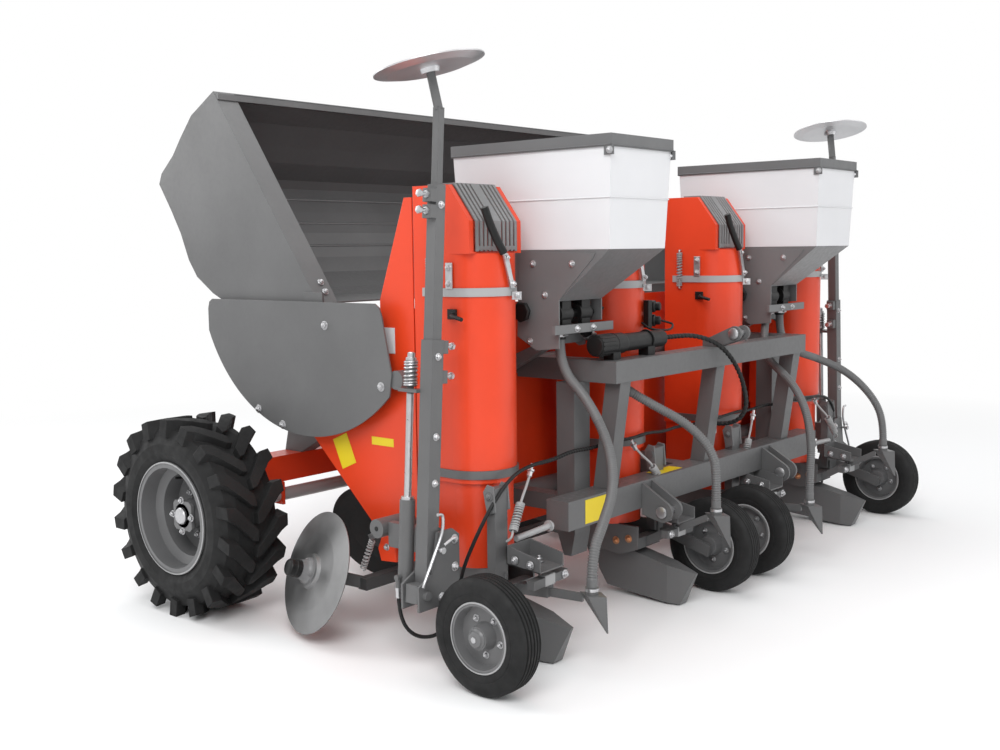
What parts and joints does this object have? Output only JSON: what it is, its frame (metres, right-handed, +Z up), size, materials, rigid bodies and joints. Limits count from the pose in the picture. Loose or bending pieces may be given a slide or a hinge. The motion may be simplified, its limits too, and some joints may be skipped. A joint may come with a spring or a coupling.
{
  "type": "potato planter",
  "caption": "Mounted potato planter with upright planting tubes, tipping seed hopper, fertiliser hoppers, gauge and rear wheels, covering discs and folded row markers.",
  "frame": {"origin": "on the ground under the middle of the machine's overall width and length", "axes": "+Z up, -Y towards the tractor, +X to the machine's left across the rows"},
  "size_m": [3.216, 2.018, 1.882],
  "materials": {
    "orange_paint": "satin",
    "grey_paint": "satin",
    "dark_paint": "satin",
    "zinc": "satin",
    "ground_steel": "satin",
    "tyre": "matte",
    "rim_grey": "satin",
    "white_plastic": "matte",
    "black_plastic": "matte",
    "grey_plastic": "matte",
    "black_rubber": "matte"
  },
  "bodies": {
    "frame": {"chassis_arms": "grey_paint", "cross_shaft": "zinc", "disc_carriers": "dark_paint", "document_canister": "black_plastic", "fertiliser_cones": "grey_paint", "fertiliser_coulters": "grey_paint", "fertiliser_hose_1": "black_rubber", "fertiliser_hose_2": "black_rubber", "fertiliser_hose_3": "black_rubber", "fertiliser_hose_4": "black_rubber", "fertiliser_tanks": "white_plastic", "frame_posts": "grey_paint", "gauge_arms": "grey_paint", "head_gratings": "grey_paint", "hitch_lugs": "grey_paint", "hose_block": "zinc", "hydraulic_bundle": "black_rubber", "hydraulic_hose_left": "black_rubber", "hydraulic_hose_right": "black_rubber", "lower_front_beam": "grey_paint", "lower_toolbar": "grey_paint", "marker_brackets": "grey_paint", "marker_cylinders": "grey_paint", "metering_units": "black_plastic", "openers": "dark_paint", "planting_tubes": "orange_paint", "rear_axle": "orange_paint", "row_frames": "grey_paint", "seed_trough": "orange_paint", "side_plates": "grey_paint", "tube_bands": "grey_paint", "upper_front_beam": "grey_paint", "upper_toolbar": "grey_paint"},
    "tipping_hopper": {"tipping_hopper": "grey_paint"},
    "rear_wheel_right": {"rear_tyre_right": "tyre", "rear_rim_right": "rim_grey"},
    "rear_wheel_left": {"rear_tyre_left": "tyre", "rear_rim_left": "rim_grey"},
    "gauge_wheel_1": {"gauge_tyre_1": "tyre", "gauge_rim_1": "rim_grey"},
    "gauge_wheel_2": {"gauge_tyre_2": "tyre", "gauge_rim_2": "rim_grey"},
    "gauge_wheel_3": {"gauge_tyre_3": "tyre", "gauge_rim_3": "rim_grey"},
    "gauge_wheel_4": {"gauge_tyre_4": "tyre", "gauge_rim_4": "rim_grey"},
    "covering_disc_1a": {"covering_disc_1a": "ground_steel"},
    "covering_disc_1b": {"covering_disc_1b": "ground_steel"},
    "covering_disc_2a": {"covering_disc_2a": "ground_steel"},
    "covering_disc_2b": {"covering_disc_2b": "ground_steel"},
    "covering_disc_3a": {"covering_disc_3a": "ground_steel"},
    "covering_disc_3b": {"covering_disc_3b": "ground_steel"},
    "covering_disc_4a": {"covering_disc_4a": "ground_steel"},
    "covering_disc_4b": {"covering_disc_4b": "ground_steel"},
    "fertiliser_lid_1": {"fertiliser_lid_1": "grey_plastic"},
    "fertiliser_lid_2": {"fertiliser_lid_2": "grey_plastic"},
    "marker_arm_right": {"marker_mast_right": "grey_paint"},
    "marker_wheel_right": {"marker_disc_right": "ground_steel"},
    "marker_arm_left": {"marker_mast_left": "grey_paint"},
    "marker_wheel_left": {"marker_disc_left": "ground_steel"}
  },
  "joints": [
    {"name": "hopper_tip", "type": "hinge", "parent": "frame", "child": "tipping_hopper", "pos_m": [0, 0.101, 1.065], "axis": [1, 0, 0], "range_deg": [-49, 35]},
    {"name": "rear_wheel_right_roll", "type": "hinge", "parent": "frame", "child": "rear_wheel_right", "pos_m": [-1.483, 0.55, 0.355], "axis": [1, 0, 0], "continuous": true},
    {"name": "rear_wheel_left_roll", "type": "hinge", "parent": "frame", "child": "rear_wheel_left", "pos_m": [1.483, 0.55, 0.355], "axis": [1, 0, 0], "continuous": true},
    {"name": "gauge_wheel_1_roll", "type": "hinge", "parent": "frame", "child": "gauge_wheel_1", "pos_m": [-1.452, -0.809, 0.177], "axis": [1, 0, 0], "continuous": true},
    {"name": "gauge_wheel_2_roll", "type": "hinge", "parent": "frame", "child": "gauge_wheel_2", "pos_m": [-0.142, -0.809, 0.177], "axis": [1, 0, 0], "continuous": true},
    {"name": "gauge_wheel_3_roll", "type": "hinge", "parent": "frame", "child": "gauge_wheel_3", "pos_m": [0.142, -0.809, 0.177], "axis": [1, 0, 0], "continuous": true},
    {"name": "gauge_wheel_4_roll", "type": "hinge", "parent": "frame", "child": "gauge_wheel_4", "pos_m": [1.452, -0.809, 0.177], "axis": [1, 0, 0], "continuous": true},
    {"name": "covering_disc_1a_turn", "type": "hinge", "parent": "frame", "child": "covering_disc_1a", "pos_m": [-1.44, -0.029, 0.226], "axis": [0.9077, -0.2432, -0.342], "continuous": true},
    {"name": "covering_disc_1b_turn", "type": "hinge", "parent": "frame", "child": "covering_disc_1b", "pos_m": [-0.91, 0.196, 0.226], "axis": [0.9077, 0.2432, 0.342], "continuous": true},
    {"name": "covering_disc_2a_turn", "type": "hinge", "parent": "frame", "child": "covering_disc_2a", "pos_m": [-0.645, 0.196, 0.226], "axis": [0.9077, -0.2432, -0.342], "continuous": true},
    {"name": "covering_disc_2b_turn", "type": "hinge", "parent": "frame", "child": "covering_disc_2b", "pos_m": [-0.16, 0.196, 0.226], "axis": [0.9077, 0.2432, 0.342], "continuous": true},
    {"name": "covering_disc_3a_turn", "type": "hinge", "parent": "frame", "child": "covering_disc_3a", "pos_m": [0.16, 0.196, 0.226], "axis": [0.9077, -0.2432, -0.342], "continuous": true},
    {"name": "covering_disc_3b_turn", "type": "hinge", "parent": "frame", "child": "covering_disc_3b", "pos_m": [0.645, 0.196, 0.226], "axis": [0.9077, 0.2432, 0.342], "continuous": true},
    {"name": "covering_disc_4a_turn", "type": "hinge", "parent": "frame", "child": "covering_disc_4a", "pos_m": [0.91, 0.196, 0.226], "axis": [0.9077, -0.2432, -0.342], "continuous": true},
    {"name": "covering_disc_4b_turn", "type": "hinge", "parent": "frame", "child": "covering_disc_4b", "pos_m": [1.44, -0.029, 0.226], "axis": [0.9077, 0.2432, 0.342], "continuous": true},
    {"name": "fertiliser_lid_1_open", "type": "hinge", "parent": "frame", "child": "fertiliser_lid_1", "pos_m": [-0.743, -0.878, 1.593], "axis": [1, 0, 0], "range_deg": [0, 85]},
    {"name": "fertiliser_lid_2_open", "type": "hinge", "parent": "frame", "child": "fertiliser_lid_2", "pos_m": [0.743, -0.878, 1.593], "axis": [1, 0, 0], "range_deg": [0, 85]},
    {"name": "marker_arm_right_fold", "type": "hinge", "parent": "frame", "child": "marker_arm_right", "pos_m": [-1.5, -0.574, 0.268], "axis": [0, -1, 0], "range_deg": [0, 95]},
    {"name": "marker_disc_right_turn", "type": "hinge", "parent": "marker_arm_right", "child": "marker_wheel_right", "pos_m": [-1.37946, -0.55616, 1.81035], "axis": [-0.1195, 0.1647, 0.9791], "continuous": true},
    {"name": "marker_arm_left_fold", "type": "hinge", "parent": "frame", "child": "marker_arm_left", "pos_m": [1.5, -0.574, 0.268], "axis": [0, 1, 0], "range_deg": [0, 95]},
    {"name": "marker_disc_left_turn", "type": "hinge", "parent": "marker_arm_left", "child": "marker_wheel_left", "pos_m": [1.37946, -0.55616, 1.81035], "axis": [0.1195, 0.1647, 0.9791], "continuous": true}
  ]
}
